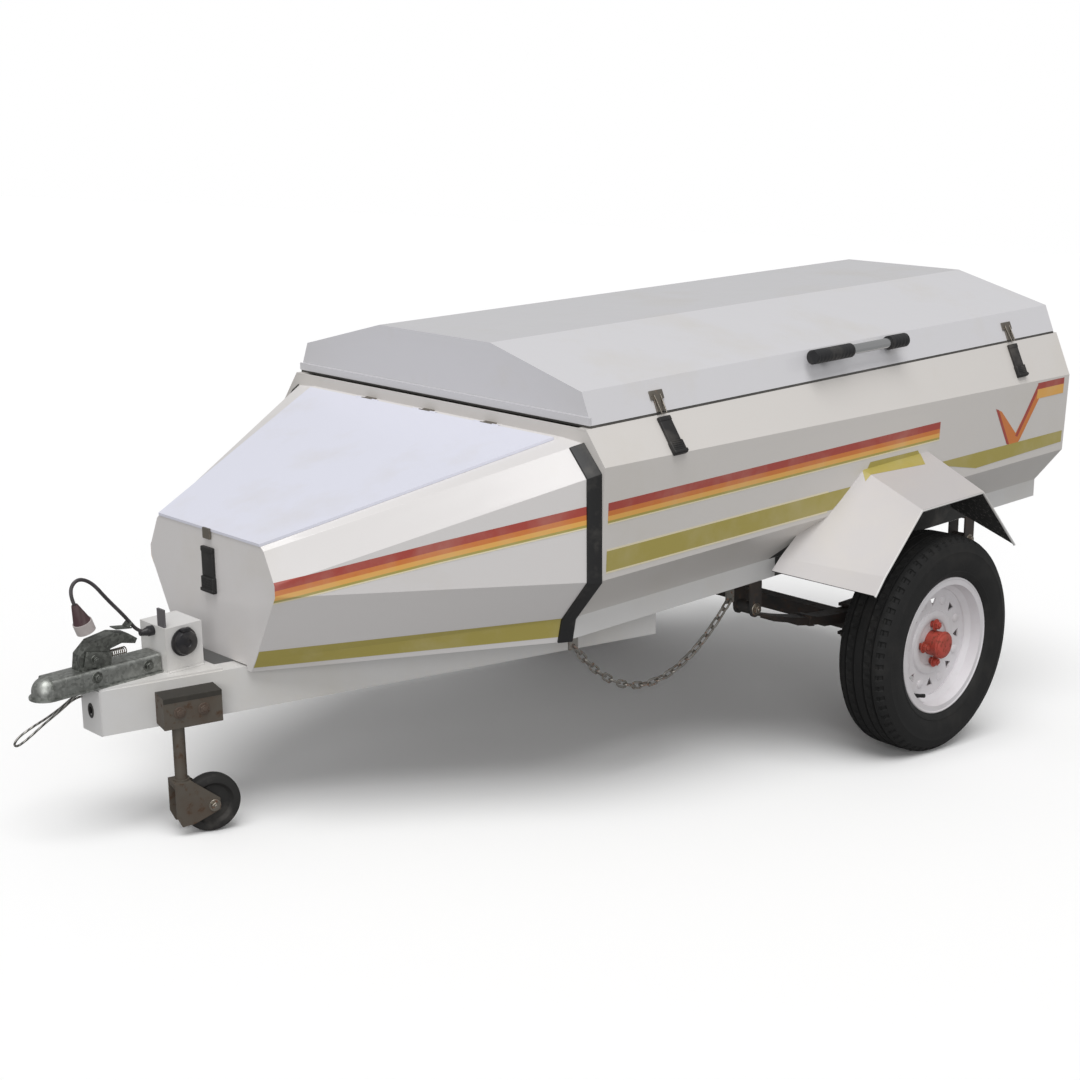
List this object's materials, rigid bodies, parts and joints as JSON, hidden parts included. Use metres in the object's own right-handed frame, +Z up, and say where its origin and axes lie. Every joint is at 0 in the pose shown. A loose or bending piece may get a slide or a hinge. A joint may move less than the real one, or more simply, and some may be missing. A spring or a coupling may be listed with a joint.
{
  "type": "luggage trailer",
  "caption": "Single-axle luggage trailer with a lidded body, a tapered nose locker, leaf springs, a ball coupling and a folding jockey wheel.",
  "frame": {"origin": "on the ground under the middle of the bounding box of all but the cords, as it stands parked on its jockey wheel", "axes": "+X forward towards the coupling, +Y to the left, +Z up"},
  "size_m": [3.0255, 1.5172, 1.2188],
  "materials": {
    "body_white": "gloss white paint",
    "lid_white": "gloss white paint",
    "nose_white": "gloss white paint",
    "axle_black": "satin black paint",
    "galvanised": "dull zinc",
    "lamp_red": "red lens",
    "plate_blank": "blank panel",
    "rubber_black": "matt",
    "tyre_black": "worn rubber",
    "rim_white": "gloss white paint",
    "hub_red": "worn red paint",
    "socket_black": "moulded",
    "lead_grey": "matt sheath",
    "boot_red": "matt",
    "plug_grey": "moulded",
    "wire_steel": "stranded",
    "chain_steel": "dull",
    "latch_black": "moulded",
    "keeper_steel": "dull",
    "handle_silver": "satin",
    "jockey_brown": "worn",
    "roller_grey": "worn"
  },
  "bodies": {
    "chassis": {"body_floor": "body_white", "body_side_left": "body_white", "body_side_right": "body_white", "body_front_wall": "body_white", "body_rear_panel": "body_white", "lid_seal": "rubber_black", "nose_shell": "nose_white", "seam_strip": "rubber_black", "chassis_rails": "nose_white", "cross_members": "nose_white", "drawbar_left": "nose_white", "drawbar_right": "nose_white", "drawbar_cap": "nose_white", "coupling_plate": "nose_white", "coupling_body": "galvanised", "coupling_handle": "galvanised", "plug_socket": "socket_black", "plug_clip": "plug_grey", "trailer_lead": "lead_grey", "lead_boot": "boot_red", "lead_plug": "plug_grey", "safety_wire": "wire_steel", "axle_beam": "axle_black", "leaf_springs": "axle_black", "spring_hangers": "axle_black", "axle_clamps": "axle_black", "fender_left": "body_white", "fender_right": "body_white", "hanging_chain": "chain_steel", "chain_lugs": "galvanised", "tail_lamps": "lamp_red", "number_plate": "plate_blank", "side_latches": "latch_black", "nose_latch": "latch_black", "body_hinges": "keeper_steel", "locker_hinges": "keeper_steel", "jockey_bracket": "jockey_brown"},
    "load_lid": {"main_lid": "lid_white", "handle_bar": "handle_silver", "handle_grips": "latch_black", "lid_keepers": "keeper_steel", "lid_hinge_leaves": "keeper_steel"},
    "locker_lid": {"nose_lid": "lid_white", "nose_keeper": "keeper_steel"},
    "wheel_left": {"tyre_left": "tyre_black", "rim_left": "rim_white", "hub_left": "hub_red"},
    "wheel_right": {"tyre_right": "tyre_black", "rim_right": "rim_white", "hub_right": "hub_red"},
    "jockey_leg": {"jockey_stem": "jockey_brown"},
    "jockey_castor": {"jockey_yoke": "jockey_brown"},
    "jockey_roller": {"jockey_wheel": "roller_grey"}
  },
  "joints": [
    {"name": "load_lid_hinge", "type": "hinge", "parent": "chassis", "child": "load_lid", "pos_m": [-0.64913, -0.536, 1.00127], "axis": [0.9961, 0, -0.0879], "range_deg": [0, 80]},
    {"name": "locker_lid_hinge", "type": "hinge", "parent": "chassis", "child": "locker_lid", "pos_m": [0.46807, 0, 0.86902], "axis": [0, -1, 0], "range_deg": [0, 85]},
    {"name": "wheel_left_spin", "type": "hinge", "parent": "chassis", "child": "wheel_left", "pos_m": [-0.71201, 0.6765, 0.28904], "axis": [0, 1, 0], "continuous": true},
    {"name": "wheel_right_spin", "type": "hinge", "parent": "chassis", "child": "wheel_right", "pos_m": [-0.71201, -0.6765, 0.28904], "axis": [0, 1, 0], "continuous": true},
    {"name": "jockey_fold", "type": "hinge", "parent": "chassis", "child": "jockey_leg", "pos_m": [1.22112, 0.11176, 0.28101], "axis": [0.2507, 0.9678, -0.0221], "range_deg": [0, 70]},
    {"name": "jockey_swivel", "type": "hinge", "parent": "jockey_leg", "child": "jockey_castor", "pos_m": [1.20755, 0.11176, 0.12731], "axis": [0.0879, 0, 0.9961], "continuous": true},
    {"name": "jockey_wheel_spin", "type": "hinge", "parent": "jockey_castor", "child": "jockey_roller", "pos_m": [1.14086, 0.12761, 0.06523], "axis": [0.2507, 0.9678, -0.0221], "continuous": true}
  ]
}
